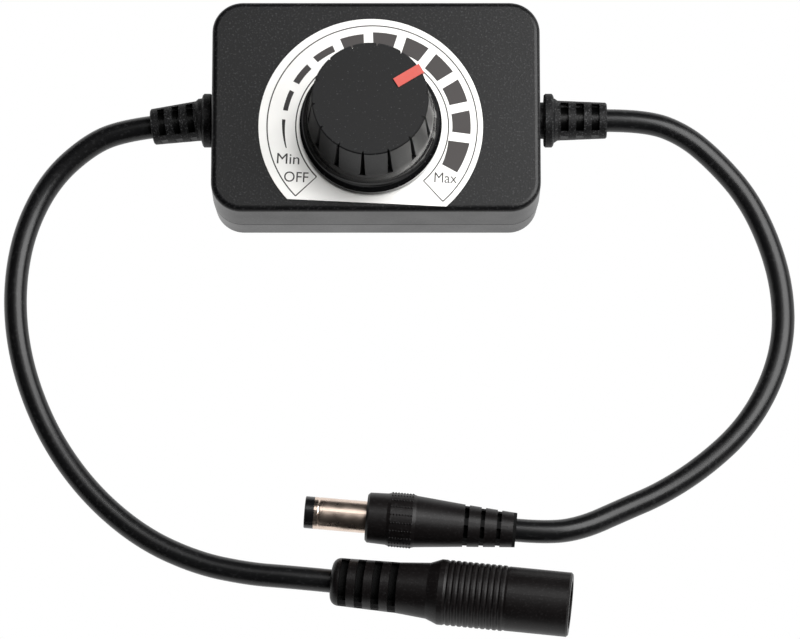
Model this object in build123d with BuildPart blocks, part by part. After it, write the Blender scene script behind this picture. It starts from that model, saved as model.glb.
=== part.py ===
from build123d import *
from math import cos, pi, radians, sin, tan
import os

os.makedirs("parts", exist_ok=True)

# In-line rotary dimmer for low-voltage lighting, in millimetres.
# The origin is on the floor under the middle of the box, X runs along the box from the
# socket lead to the plug lead, and the two leads come round to the front (-Y).

# Box: two moulded shells that meet at the leads' height
case_length = 56.8
case_width = 37.6
case_height = 16.5
case_corner = 5.3
seam_height = 7.2
wall = 1.8
shell_draft = 2.5
top_edge_round = 1.0
foot_edge_round = 0.8
lip_height = 1.2
lip_thickness = 0.8
shell_gap = 0.1

# Case screws and the bosses that they join
screw_inset = 5.8
screw_boss_radius = 2.6
screw_shank_radius = 1.0
screw_head_radius = 1.9
screw_head_height = 1.3
screw_recess = 0.9
screw_bite = 5.0
screw_gap = 0.15
screw_cross = 0.5

# Circuit board and the posts that hold it
board_thickness = 1.6
board_lift = 1.9
board_end_gap = 2.2
board_side_gap = 1.6
board_notch_gap = 0.5
post_radius = 1.5
post_pin_radius = 0.7
post_pin_height = 1.1
post_inset = 9.2
post_edge = 1.0
post_gap = 0.1

# Potentiometer with its threaded bushing
knob_x = -0.9
knob_y = -3.8
shaft_radius = 3.0
shaft_flat = 1.5
bushing_radius = 3.5
bushing_wall_gap = 0.05
bushing_stand = 3.0
bushing_edge = 0.3
pot_side = 9.8
pot_corner = 0.5
pot_roof_gap = 1.2
pot_plate = 0.8
pot_wafer_thickness = 1.2
pot_foot = 0.4
pot_shell_wall = 0.6
rotor_gap = 0.3
rotor_height = 3.2
spindle_radius = 1.8
wiper_thickness = 0.2
wiper_radius = 3.4
wiper_notch_width = 1.4
wiper_notch_depth = 1.1
leg_width = 3.0
leg_gap = 1.0
terminal_pitch = 2.5
terminal_width = 0.8
terminal_thickness = 0.4
terminal_reach = 1.4
nut_across_flats = 10.0
nut_thickness = 2.0
washer_radius = 5.6
washer_thickness = 0.5

# Dial sheet stuck on the top
dial_radius = 19.35
dial_front = 13.7
dial_turn = -2.8
dial_thickness = 0.2
dial_hole_gap = 0.6

# Knob
knob_height = 16.0
knob_float = 0.5
knob_top_radius = 9.9
knob_grip_radius = 10.7
knob_skirt_radius = 12.25
knob_skirt_height = 0.9
knob_flare_height = 5.0
knob_flare_radius = 9.0
knob_edge = 0.2
knob_wall = 1.6
knob_thin_wall = 1.0
knob_core_draft = 0.3
knob_roof = 2.2
knob_boss_radius = 4.7
knob_boss_gap = 0.8
knob_rib = 1.0
knob_bore_gap = 0.03
groove_count = 14
groove_root = 9.2
groove_angle = 36.0
groove_run_out = 1.0
groove_foot_depth = 0.35
groove_foot_round = 0.8
pointer_angle = 31.5
pointer_width = 1.75
pointer_inner = 5.1
pointer_depth = 1.0
pointer_proud = 0.25
pointer_leg_width = 1.1
pointer_leg_drop = 5.0

# Strain reliefs on the box
relief_neck_radius = 3.2
relief_flange_radius = 4.7
relief_flange = 1.5
relief_collar = 1.9
relief_collar_draft = 0.3
relief_collar_edge = 0.25
relief_root_flare = 0.35
relief_root_run = 0.5
relief_first = 0.95
relief_tail_root = 3.5
relief_tail_end = 3.15
relief_ring = 1.3
relief_slot_count = 3
relief_slot_core = 2.35
relief_slot_floor = 0.9
relief_web = 0.6
relief_notch = 0.2
relief_end_edge = 0.2
relief_fit = 0.05
input_relief_stand = 0.25
output_relief_stand = 0.85
input_relief_slot = 1.25
output_relief_slot = 1.4
input_relief_droop = 6.0
input_relief_sag = 6.0

# Leads and their inner wires
cord_radius = 2.0
input_cord_lead = 5.8
output_cord_lead = 7.0
jack_cord_entry = 7.0
plug_cord_entry = 5.8
wire_radius = 0.65
wire_spacing = 1.7
wire_straight = 3.0
wire_bend_share = 0.6

# Components on the board
transistor_end_inset = 10.4
transistor_front_inset = 10.4
transistor_length = 6.6
transistor_width = 6.1
transistor_height = 2.3
transistor_edge = 0.3
transistor_metal = 0.5
transistor_tab_width = 5.4
transistor_tab_length = 1.0
transistor_leg_pitch = 4.6
transistor_leg_width = 0.8
transistor_leg_length = 2.4
chip_end_inset = 10.9
chip_front_inset = 9.9
chip_length = 4.9
chip_width = 3.9
chip_height = 1.5
chip_pitch = 1.27
chip_lift = 0.1
chip_edge = 0.2
chip_leg_width = 0.4
chip_leg_reach = 1.0
chip_leg_thickness = 0.2
capacitor_end_inset = 12.9
capacitor_back_inset = 7.9
capacitor_radius = 3.15
capacitor_height = 7.5
capacitor_foot = 0.9
capacitor_waist = 0.3
capacitor_waist_half = 0.4
diode_end_inset = 11.9
diode_back_inset = 8.9
diode_pitch = 4.2
diode_length = 4.3
diode_width = 2.6
diode_height = 2.1
diode_foot = 0.4
resistor_back_inset = 6.9
resistor_pitch = 3.2
resistor_columns = 3
resistor_length = 2.0
resistor_width = 1.25
resistor_height = 0.5

# Barrel plug on the output lead (nominal 5.5 x 2.1)
plug_heading = 175.0
plug_tail_x = 24.0
plug_tail_y = -72.3
plug_body_length = 25.7
plug_grip_radius = 4.6
plug_grip_start = 17.2
plug_grip_length = 5.0
plug_grip_slope = 0.6
plug_shoulder_radius = 4.42
plug_front_radius = 4.3
plug_front_round = 0.4
plug_waist_radius = 3.65
plug_waist_at = 9.0
plug_tail_radius = 2.95
plug_tail_ring = 2.6
plug_slot = 0.75
plug_ring = 2.05
plug_slot_count = 3
plug_slot_core = 2.2
plug_slot_floor = 0.9
plug_slot_spine = 1.2
plug_web = 0.45
plug_notch = 0.5
barrel_radius = 2.75
barrel_length = 10.6
barrel_wall = 0.35
barrel_root_radius = 2.45
barrel_sunk = 7.0
barrel_bore = 1.05
barrel_bead = 0.8
barrel_bead_depth = 0.08
barrel_bead_width = 0.3
tip_ring = 1.6
contact_wall = 0.35
contact_set_back = 1.6
contact_slit = 0.4
tip_step = 0.1

# Barrel socket on the input lead: it lies on its grip, with the mouth raised a little
jack_heading = -6.5
jack_rise = 4.0
jack_tail_x = -7.5
jack_tail_y = -81.1
jack_length = 41.0
jack_tail_radius = 4.1
jack_tail_round = 1.4
jack_tail_ring = 1.5
jack_neck_radius = 4.35
jack_shoulder_radius = 4.8
jack_shoulder_at = 16.6
jack_grip_at = 18.6
jack_grip_radius = 5.6
jack_barrel_radius = 5.5
jack_rib_start = 19.9
jack_rib_count = 10
jack_rib_pitch = 1.0
jack_rib_crest = 0.4
jack_rib_depth = 0.2
jack_grip_slope = 0.4
jack_mouth_round = 0.3
jack_slot = 1.4
jack_ring = 1.45
jack_slot_count = 4
jack_slot_core = 2.8
jack_slot_floor = 1.2
jack_web = 0.5
jack_notch = 0.15
socket_radius = 3.0
socket_depth = 9.8
liner_radius = 4.1
liner_recess = 0.6
liner_base = 3.0
pin_radius = 1.0
pin_root_radius = 0.75
pin_set_back = 1.0
pin_nose = 0.6
spring_thickness = 0.3
spring_width = 2.2
spring_reach = 6.5

# Levels and places that follow from them
half_length = case_length / 2
half_width = case_width / 2
inner_length = case_length - 2 * wall
inner_width = case_width - 2 * wall
inner_corner = case_corner - wall
lip_length = inner_length + 2 * lip_thickness
lip_width = inner_width + 2 * lip_thickness
lip_corner = inner_corner + lip_thickness
roof_height = case_height - wall
screw_x = half_length - screw_inset
screw_y = half_width - screw_inset
board_bottom = wall + board_lift
board_top = board_bottom + board_thickness
board_length = inner_length - 2 * board_end_gap
board_width = inner_width - 2 * board_side_gap
transistor_x = board_length / 2 - transistor_end_inset
transistor_y = transistor_front_inset - board_width / 2
chip_x = chip_end_inset - board_length / 2
chip_y = chip_front_inset - board_width / 2
capacitor_x = board_length / 2 - capacitor_end_inset
capacitor_y = board_width / 2 - capacitor_back_inset
diode_x = diode_end_inset - board_length / 2
diode_y = board_width / 2 - diode_back_inset
resistor_y = board_width / 2 - resistor_back_inset
post_x = half_length - post_inset - wall
post_y = half_width - wall - board_side_gap - post_radius - post_edge
pot_top = roof_height - pot_roof_gap
plate_bottom = pot_top - pot_plate
wafer_bottom = board_top + pot_foot
wafer_top = wafer_bottom + pot_wafer_thickness
bushing_top = case_height + bushing_stand
dial_top = case_height + dial_thickness
knob_bottom = dial_top + knob_float
knob_top = knob_bottom + knob_height
knob_axis = Axis((knob_x, knob_y, 0), (0, 0, 1))
knob_side = Plane((knob_x, knob_y, 0), x_dir=(1, 0, 0), z_dir=(0, -1, 0))
shaft_top = knob_top - knob_roof
grip_bottom = knob_bottom + knob_skirt_height + knob_flare_height


def level(height):
    """Level plane over the knob's axis."""
    return Plane((knob_x, knob_y, height))


def axial_plane(origin, heading):
    """Plane that holds a lead's or connector's axis: its X runs outward, its Y points up."""
    return Plane(origin, x_dir=heading, z_dir=heading.cross(Vector(0, 0, 1)))


def cross_plane(axial, distance):
    """Plane across an axis, so far along it: its X is level."""
    return Plane(axial.origin + axial.x_dir * distance, x_dir=axial.z_dir, z_dir=axial.x_dir)


def heading_vector(turn):
    """Level unit vector, from its turn about Z in degrees."""
    return Vector(cos(radians(turn)), sin(radians(turn)), 0)


def flex_slot(across, outer, side, web, floor, core, spine):
    """Section cut away by a slot in a flexible tail: a window above and one below, beside the
    round core, and a notch at each side. Webs stand between them, and a spine may halve the windows."""
    with BuildSketch(across) as section:
        Rectangle(4 * outer, 4 * outer)
        Rectangle(2 * side, 4 * outer, mode=Mode.SUBTRACT)
        Rectangle(2 * (side - web), 4 * outer)
        Rectangle(2 * (side - web), 2 * floor, mode=Mode.SUBTRACT)
        Circle(core, mode=Mode.SUBTRACT)
        if spine:
            Rectangle(spine, 4 * outer, mode=Mode.SUBTRACT)
    return section.sketch


def save(piece, name):
    piece.part.label = name
    export_step(piece.part, f"parts/{name}.step")


# Lower shell: tray with a raised lip, screw bosses and board posts
with BuildPart() as bottom_cover:
    with BuildSketch(Plane.XY.offset(seam_height)):
        RectangleRounded(case_length, case_width, case_corner)
    extrude(amount=-seam_height, taper=shell_draft)
    fillet(bottom_cover.faces().sort_by(Axis.Z)[0].edges(), foot_edge_round)
    with BuildSketch(Plane.XY.offset(seam_height)):
        RectangleRounded(inner_length, inner_width, inner_corner)
    extrude(amount=wall - seam_height, mode=Mode.SUBTRACT)
    with BuildSketch(Plane.XY.offset(seam_height)):
        RectangleRounded(lip_length, lip_width, lip_corner)
        RectangleRounded(inner_length, inner_width, inner_corner, mode=Mode.SUBTRACT)
    extrude(amount=lip_height)
    with BuildSketch(Plane.XY.offset(wall)):
        with GridLocations(2 * screw_x, 2 * screw_y, 2, 2):
            Circle(screw_boss_radius)
    extrude(amount=seam_height - wall)
    with BuildSketch(Plane.XY.offset(wall)):
        with GridLocations(2 * post_x, 2 * post_y, 2, 2):
            Circle(post_radius)
    extrude(amount=board_lift)
    with BuildSketch(Plane.XY.offset(board_bottom)):
        with GridLocations(2 * post_x, 2 * post_y, 2, 2):
            Circle(post_pin_radius)
    extrude(amount=board_thickness + post_pin_height)
    head_seat = screw_recess + screw_head_height
    with BuildSketch(Plane.XY):
        with GridLocations(2 * screw_x, 2 * screw_y, 2, 2):
            Circle(screw_head_radius + screw_gap)
    extrude(amount=head_seat, mode=Mode.SUBTRACT)
    with BuildSketch(Plane.XY):
        with GridLocations(2 * screw_x, 2 * screw_y, 2, 2):
            Circle(screw_shank_radius + screw_gap)
    extrude(amount=seam_height, mode=Mode.SUBTRACT)
    with BuildSketch(Plane.YZ):
        with Locations((0, seam_height)):
            Circle(relief_neck_radius + relief_fit)
    extrude(amount=half_length, both=True, mode=Mode.SUBTRACT)
save(bottom_cover, "bottom_cover")

# Upper shell: cap with a rebate for the lip, screw bosses and posts that hold the board down
with BuildPart() as top_cover:
    with BuildSketch(Plane.XY.offset(seam_height)):
        RectangleRounded(case_length, case_width, case_corner)
    extrude(amount=case_height - seam_height)
    fillet(top_cover.faces().sort_by(Axis.Z)[-1].edges(), top_edge_round)
    with BuildSketch(Plane.XY.offset(seam_height)):
        RectangleRounded(inner_length, inner_width, inner_corner)
    extrude(amount=roof_height - seam_height, mode=Mode.SUBTRACT)
    with BuildSketch(Plane.XY.offset(seam_height)):
        RectangleRounded(lip_length + 2 * shell_gap, lip_width + 2 * shell_gap, lip_corner + shell_gap)
    extrude(amount=lip_height + shell_gap, mode=Mode.SUBTRACT)
    with BuildSketch(Plane.XY.offset(seam_height)):
        with GridLocations(2 * screw_x, 2 * screw_y, 2, 2):
            Circle(screw_boss_radius)
    extrude(amount=roof_height - seam_height)
    with BuildSketch(Plane.XY.offset(board_top)):
        with GridLocations(2 * post_x, 2 * post_y, 2, 2):
            Circle(post_radius)
    extrude(amount=roof_height - board_top)
    with BuildSketch(Plane.XY.offset(board_top)):
        with GridLocations(2 * post_x, 2 * post_y, 2, 2):
            Circle(post_pin_radius + post_gap)
    extrude(amount=post_pin_height + post_gap, mode=Mode.SUBTRACT)
    with BuildSketch(Plane.XY.offset(seam_height)):
        with GridLocations(2 * screw_x, 2 * screw_y, 2, 2):
            Circle(screw_shank_radius)
    extrude(amount=screw_bite + shell_gap, mode=Mode.SUBTRACT)
    with BuildSketch(Plane.YZ):
        with Locations((0, seam_height)):
            Circle(relief_neck_radius + relief_fit)
    extrude(amount=half_length, both=True, mode=Mode.SUBTRACT)
    with BuildSketch(level(roof_height)):
        Circle(bushing_radius + shell_gap)
    extrude(amount=wall, mode=Mode.SUBTRACT)
save(top_cover, "top_cover")

# Case screws: cross-head tapping screws from the underside, one group
with BuildPart() as case_screws:
    with BuildSketch(Plane.XY.offset(screw_recess)):
        with GridLocations(2 * screw_x, 2 * screw_y, 2, 2):
            Circle(screw_head_radius)
    extrude(amount=screw_head_height)
    chamfer(case_screws.faces().group_by(Axis.Z)[0].edges(), screw_head_height / 3)
    with BuildSketch(Plane.XY.offset(head_seat)):
        with GridLocations(2 * screw_x, 2 * screw_y, 2, 2):
            Circle(screw_shank_radius)
    extrude(amount=seam_height + screw_bite - head_seat)
    chamfer(case_screws.faces().group_by(Axis.Z)[-1].edges(), screw_shank_radius / 2)
    with BuildSketch(Plane.XY.offset(screw_recess)):
        with GridLocations(2 * screw_x, 2 * screw_y, 2, 2):
            Rectangle(screw_head_radius, screw_cross)
            Rectangle(screw_cross, screw_head_radius)
    extrude(amount=screw_head_height / 2, mode=Mode.SUBTRACT)
save(case_screws, "case_screws")

# Dial sheet: disc with its front cut off straight, and a hole for the nut
with BuildPart() as dial_label:
    with BuildSketch(Plane((knob_x, knob_y, case_height)).rotated((0, 0, dial_turn))):
        Circle(dial_radius)
        with Locations((0, -dial_front)):
            Rectangle(2 * dial_radius, dial_radius, align=(Align.CENTER, Align.MAX), mode=Mode.SUBTRACT)
        Circle(washer_radius + dial_hole_gap, mode=Mode.SUBTRACT)
    extrude(amount=dial_thickness)
save(dial_label, "dial_label")

# Circuit board, notched round the screw bosses and pierced for the posts' pins
notch = screw_boss_radius + board_notch_gap
notch_x = board_length / 2 - screw_x + notch
notch_y = board_width / 2 - screw_y + notch
with BuildPart() as circuit_board:
    with BuildSketch(Plane.XY.offset(board_bottom)):
        Rectangle(board_length, board_width)
        with GridLocations(board_length - notch_x, board_width - notch_y, 2, 2):
            Rectangle(notch_x, notch_y, mode=Mode.SUBTRACT)
        with GridLocations(2 * post_x, 2 * post_y, 2, 2):
            Circle(post_pin_radius + post_gap, mode=Mode.SUBTRACT)
    extrude(amount=board_thickness)
save(circuit_board, "circuit_board")

# Potentiometer wafer: the plate that carries the carbon track
with BuildPart() as pot_wafer:
    with BuildSketch(level(wafer_bottom)):
        RectangleRounded(pot_side, pot_side, pot_corner)
    extrude(amount=pot_wafer_thickness)
save(pot_wafer, "pot_wafer")

# Potentiometer shell: a square cup over the wafer, with a round chamber for the rotor
rotor_radius = pot_side / 2 - pot_shell_wall - rotor_gap
with BuildPart() as pot_shell:
    with BuildSketch(level(wafer_top)):
        RectangleRounded(pot_side, pot_side, pot_corner)
    extrude(amount=plate_bottom - wafer_top)
    with BuildSketch(level(wafer_top)):
        Circle(rotor_radius + rotor_gap)
    extrude(amount=plate_bottom - wafer_top - pot_shell_wall, mode=Mode.SUBTRACT)
    with BuildSketch(level(wafer_top)):
        Circle(shaft_radius + rotor_gap)
    extrude(amount=plate_bottom - wafer_top, mode=Mode.SUBTRACT)
save(pot_shell, "pot_shell")

# Potentiometer frame: a folded steel plate whose four legs clasp the shell down to the board
with BuildPart() as pot_frame:
    with BuildSketch(level(plate_bottom)):
        Rectangle(pot_side + 2 * pot_plate, 2 * leg_width + leg_gap)
        Rectangle(pot_side, pot_side)
        Circle(bushing_radius, mode=Mode.SUBTRACT)
    extrude(amount=pot_plate)
    leg_spread = pot_side + pot_plate
    with BuildSketch(level(board_top)):
        with GridLocations(leg_spread, leg_width + leg_gap, 2, 2):
            Rectangle(pot_plate, leg_width)
    extrude(amount=plate_bottom - board_top)
save(pot_frame, "pot_frame")

# Threaded bushing, swaged into the plate
with BuildPart() as pot_bushing:
    with BuildSketch(level(plate_bottom)):
        Circle(bushing_radius)
        Circle(shaft_radius + bushing_wall_gap, mode=Mode.SUBTRACT)
    extrude(amount=bushing_top - plate_bottom)
    chamfer(pot_bushing.edges().group_by(Axis.Z)[-1].sort_by(SortBy.RADIUS)[-1], bushing_edge)
save(pot_bushing, "pot_bushing")

# Potentiometer terminals: three track pins at the front, two switch pins at the back
with BuildPart() as pot_terminals:
    for side, count in ((-1, 3), (1, 2)):
        row_y = knob_y + side * (pot_side / 2 + terminal_reach / 2)
        with BuildSketch(Plane((knob_x, row_y, wafer_bottom))):
            with GridLocations(terminal_pitch, 0, count, 1):
                Rectangle(terminal_width, terminal_reach)
        extrude(amount=terminal_thickness)
        foot_y = knob_y + side * (pot_side / 2 + terminal_reach - terminal_thickness / 2)
        with BuildSketch(Plane((knob_x, foot_y, board_top))):
            with GridLocations(terminal_pitch, 0, count, 1):
                Rectangle(terminal_width, terminal_thickness)
        extrude(amount=pot_foot)
save(pot_terminals, "pot_terminals")

# Washer and hexagon nut that clamp the top shell to the bushing
with BuildPart() as pot_washer:
    with BuildSketch(level(case_height)):
        Circle(washer_radius)
        Circle(bushing_radius + shell_gap, mode=Mode.SUBTRACT)
    extrude(amount=washer_thickness)
save(pot_washer, "pot_washer")

nut_bottom = case_height + washer_thickness
with BuildPart() as pot_nut:
    with BuildSketch(level(nut_bottom)):
        RegularPolygon(nut_across_flats / 2, 6, major_radius=False)
        Circle(bushing_radius, mode=Mode.SUBTRACT)
    extrude(amount=nut_thickness)
save(pot_nut, "pot_nut")

# Shaft: turned rod with a flat for the knob and a thinner spindle in the rotor
rotor_bottom = wafer_top + wiper_thickness + rotor_gap
rotor_top = rotor_bottom + rotor_height
with BuildPart() as pot_shaft:
    with BuildSketch(level(rotor_bottom)):
        Circle(spindle_radius)
    extrude(amount=rotor_height)
    with BuildSketch(level(rotor_top)):
        Circle(shaft_radius)
    extrude(amount=shaft_top - rotor_top)
    flat_bottom = bushing_top + knob_boss_gap / 2
    with BuildSketch(level(flat_bottom).rotated((0, 0, pointer_angle))):
        with Locations((-shaft_flat, 0)):
            Rectangle(shaft_radius, 2 * shaft_radius, align=(Align.MAX, Align.CENTER))
    extrude(amount=shaft_top - flat_bottom, mode=Mode.SUBTRACT)
save(pot_shaft, "pot_shaft")

# Rotor: moulded disc on the spindle that carries the wiper
with BuildPart() as pot_rotor:
    with BuildSketch(level(rotor_bottom)):
        Circle(rotor_radius)
        Circle(spindle_radius, mode=Mode.SUBTRACT)
    extrude(amount=rotor_height)
save(pot_rotor, "pot_rotor")

# Wiper: thin spring ring under the rotor with two brushes
with BuildPart() as pot_wiper:
    with BuildSketch(level(rotor_bottom - wiper_thickness)):
        Circle(wiper_radius)
        Circle(spindle_radius, mode=Mode.SUBTRACT)
        with Locations((0, wiper_radius)):
            Rectangle(wiper_notch_width, 2 * wiper_notch_depth, mode=Mode.SUBTRACT)
    extrude(amount=wiper_thickness)
save(pot_wiper, "pot_wiper")

# Knob: hollow skirted moulding with grip grooves and a keyed boss
with BuildPart() as knob:
    with BuildSketch(knob_side):
        with BuildLine():
            skirt_top = knob_bottom + knob_skirt_height
            Polyline((knob_skirt_radius, skirt_top), (knob_skirt_radius, knob_bottom), (0, knob_bottom),
                     (0, knob_top), (knob_top_radius - knob_edge, knob_top),
                     (knob_top_radius, knob_top - knob_edge), (knob_grip_radius, grip_bottom))
            RadiusArc((knob_grip_radius, grip_bottom), (knob_skirt_radius, skirt_top), -knob_flare_radius)
        make_face()
    revolve(axis=knob_axis)
    groove_reach = knob_skirt_radius + groove_run_out
    groove_half = (groove_reach - groove_root) * tan(radians(groove_angle / 2))
    with BuildSketch(level(grip_bottom).rotated((0, 0, pointer_angle))):
        with PolarLocations(0, groove_count):
            Polygon((groove_root, 0), (groove_reach, -groove_half), (groove_reach, groove_half), align=None)
    extrude(amount=knob_top - grip_bottom, mode=Mode.SUBTRACT)
    # The lower corners of the grip panels are rounded off into the grooves
    foot_root = knob_grip_radius - groove_foot_depth
    foot_half = (foot_root - groove_root) * tan(radians(groove_angle / 2))
    foot_reach = foot_half + groove_foot_round
    for groove in range(groove_count):
        outward = heading_vector(pointer_angle + groove * 360 / groove_count)
        foot_origin = Vector(knob_x, knob_y, grip_bottom) + outward * foot_root
        with BuildSketch(Plane(foot_origin, x_dir=(-outward.Y, outward.X, 0), z_dir=outward)):
            with BuildLine():
                Line((-foot_reach, 0), (foot_reach, 0))
                RadiusArc((foot_reach, 0), (foot_half, groove_foot_round), groove_foot_round)
                Line((foot_half, groove_foot_round), (-foot_half, groove_foot_round))
                RadiusArc((-foot_half, groove_foot_round), (-foot_reach, 0), groove_foot_round)
            make_face()
        extrude(amount=groove_reach - foot_root, mode=Mode.SUBTRACT)
    # Hollow underside, with the boss and four ribs left standing in it
    cavity_top = knob_top - knob_roof
    core_radius = groove_root - knob_thin_wall
    with BuildSketch(knob_side):
        Polygon((0, knob_bottom), (knob_skirt_radius - knob_wall, knob_bottom),
                (core_radius, grip_bottom), (core_radius - knob_core_draft, cavity_top), (0, cavity_top),
                align=None)
    revolve(axis=knob_axis, mode=Mode.SUBTRACT)
    boss_bottom = bushing_top + knob_boss_gap
    with BuildSketch(level(boss_bottom).rotated((0, 0, pointer_angle))):
        Circle(knob_boss_radius)
        Rectangle(2 * (groove_root - knob_wall / 2), knob_rib)
        Rectangle(knob_rib, 2 * (groove_root - knob_wall / 2))
    extrude(amount=cavity_top - boss_bottom)
    with BuildSketch(level(boss_bottom).rotated((0, 0, pointer_angle))):
        Circle(shaft_radius + knob_bore_gap)
        with Locations((-shaft_flat - knob_bore_gap, 0)):
            Rectangle(2 * shaft_radius, 3 * shaft_radius, align=(Align.MAX, Align.CENTER),
                      mode=Mode.SUBTRACT)
    extrude(amount=cavity_top - boss_bottom, mode=Mode.SUBTRACT)
    # Slot for the pointer, over the top and down one groove
    with BuildSketch(level(knob_top - pointer_depth).rotated((0, 0, pointer_angle))):
        with Locations((pointer_inner, 0)):
            Rectangle(knob_skirt_radius, pointer_width, align=(Align.MIN, Align.CENTER))
    extrude(amount=pointer_depth, mode=Mode.SUBTRACT)
    with BuildSketch(level(knob_top - pointer_leg_drop).rotated((0, 0, pointer_angle))):
        with Locations((groove_root, 0)):
            Rectangle(knob_skirt_radius, pointer_leg_width, align=(Align.MIN, Align.CENTER))
    extrude(amount=pointer_leg_drop, mode=Mode.SUBTRACT)
save(knob, "knob")

# Pointer: red hooked insert, over the knob's top and down its side
with BuildPart() as knob_pointer:
    pointer_reach = knob_top_radius + pointer_proud
    with BuildSketch(level(knob_top - pointer_depth).rotated((0, 0, pointer_angle))):
        with Locations((pointer_inner, 0)):
            Rectangle(pointer_reach - pointer_inner, pointer_width, align=(Align.MIN, Align.CENTER))
    extrude(amount=pointer_depth + pointer_proud)
    with BuildSketch(level(knob_top - pointer_leg_drop).rotated((0, 0, pointer_angle))):
        with Locations((groove_root, 0)):
            Rectangle(pointer_reach - groove_root, pointer_leg_width, align=(Align.MIN, Align.CENTER))
    extrude(amount=pointer_leg_drop)
save(knob_pointer, "knob_pointer")


def relief_tail_plane(side, stand, droop, sag):
    """Axis of a relief's tail, from its collar: it may lean to the front and hang down by some degrees."""
    heading = Vector(side * cos(radians(droop)), -sin(radians(droop)), -tan(radians(sag))).normalized()
    return axial_plane(Vector(side * (half_length + stand + relief_collar), 0, seam_height), heading)


def relief_tail_length(slot):
    """Length of a relief's tail, from its first solid part to its end ring."""
    return relief_first + relief_slot_count * (slot + relief_ring)


def strain_relief(side, stand, slot, droop, sag):
    """Flexible gland clipped in the box's end wall, with a ringed tail that may hang a little."""
    axis_plane = axial_plane(Vector(0, 0, seam_height), Vector(side, 0, 0))
    inner_face = half_length - wall - relief_fit
    collar_face = half_length + stand
    collar_end = collar_face + relief_collar
    collar_rim = collar_end - relief_collar_draft
    rim_radius = relief_flange_radius - relief_collar_edge
    tail_plane = relief_tail_plane(side, stand, droop, sag)
    tail = relief_tail_length(slot)
    with BuildPart() as relief:
        with BuildSketch(axis_plane):
            Polygon((inner_face - relief_flange, 0), (inner_face - relief_flange, relief_flange_radius),
                    (inner_face, relief_flange_radius), (inner_face, relief_neck_radius),
                    (collar_face, relief_neck_radius), (collar_face, rim_radius),
                    (collar_face + relief_collar_edge, relief_flange_radius),
                    (collar_rim - relief_collar_edge, relief_flange_radius), (collar_rim, rim_radius),
                    (collar_end, relief_tail_root), (collar_end, 0), align=None)
        revolve(axis=Axis(axis_plane.origin, axis_plane.x_dir))
        with BuildSketch(tail_plane):
            Polygon((-relief_collar / 2, 0), (-relief_collar / 2, relief_tail_root + relief_root_flare),
                    (0, relief_tail_root + relief_root_flare), (relief_root_run, relief_tail_root),
                    (tail - relief_end_edge, relief_tail_end), (tail, relief_tail_end - relief_end_edge),
                    (tail, 0), align=None)
        revolve(axis=Axis(tail_plane.origin, tail_plane.x_dir))
        for ring in range(relief_slot_count):
            start = relief_first + ring * (slot + relief_ring)
            tail_here = relief_tail_root - (relief_tail_root - relief_tail_end) * (start + slot) / tail
            window = flex_slot(cross_plane(tail_plane, start), relief_tail_root, tail_here - relief_notch,
                               relief_web, relief_slot_floor, relief_slot_core, 0)
            extrude(window, amount=slot, mode=Mode.SUBTRACT)
    return relief


input_relief = strain_relief(-1, input_relief_stand, input_relief_slot, input_relief_droop,
                             input_relief_sag)
save(input_relief, "input_relief")
output_relief = strain_relief(1, output_relief_stand, output_relief_slot, 0, 0)
save(output_relief, "output_relief")


def inner_wire(side, shift):
    """Insulated wire from a relief's inner end, over the board and down to its pad."""
    start = half_length - wall - relief_fit - relief_flange
    pad = start - wire_straight
    drop = seam_height - board_top
    with BuildPart() as wire:
        with BuildLine():
            FilletPolyline((side * start, shift, seam_height), (side * pad, shift, seam_height),
                           (side * pad, shift, board_top), radius=wire_bend_share * drop)
        with BuildSketch(Plane((side * start, shift, seam_height), z_dir=(-side, 0, 0))):
            Circle(wire_radius)
        sweep()
    return wire


for side, lead in ((-1, "input"), (1, "output")):
    save(inner_wire(side, wire_spacing / 2), f"{lead}_wire_positive")
    save(inner_wire(side, -wire_spacing / 2), f"{lead}_wire_negative")

# Power transistor: flat moulded package with a metal tab and two legs
with BuildPart() as power_transistor:
    with BuildSketch(Plane((transistor_x, transistor_y, board_top))):
        Rectangle(transistor_length, transistor_width)
    extrude(amount=transistor_height)
    chamfer(power_transistor.faces().sort_by(Axis.Z)[-1].edges(), transistor_edge)
    tab_y = transistor_y + transistor_width / 2
    with BuildSketch(Plane((transistor_x, tab_y, board_top))):
        Rectangle(transistor_tab_width, transistor_tab_length, align=(Align.CENTER, Align.MIN))
    extrude(amount=transistor_metal)
    leg_y = transistor_y - transistor_width / 2
    with BuildSketch(Plane((transistor_x, leg_y, board_top))):
        with GridLocations(transistor_leg_pitch, 0, 2, 1):
            Rectangle(transistor_leg_width, transistor_leg_length, align=(Align.CENTER, Align.MAX))
    extrude(amount=transistor_metal)
save(power_transistor, "power_transistor")

# Control chip: eight-legged package that makes the dimming pulses
with BuildPart() as control_chip:
    with BuildSketch(Plane((chip_x, chip_y, board_top + chip_lift))):
        Rectangle(chip_length, chip_width)
    extrude(amount=chip_height)
    chamfer(control_chip.faces().sort_by(Axis.Z)[-1].edges(), chip_edge)
    with BuildSketch(Plane((chip_x, chip_y, board_top))):
        with GridLocations(chip_pitch, chip_width + chip_leg_reach, 4, 2):
            Rectangle(chip_leg_width, chip_leg_reach)
    extrude(amount=chip_leg_thickness)
save(control_chip, "control_chip")

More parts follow.
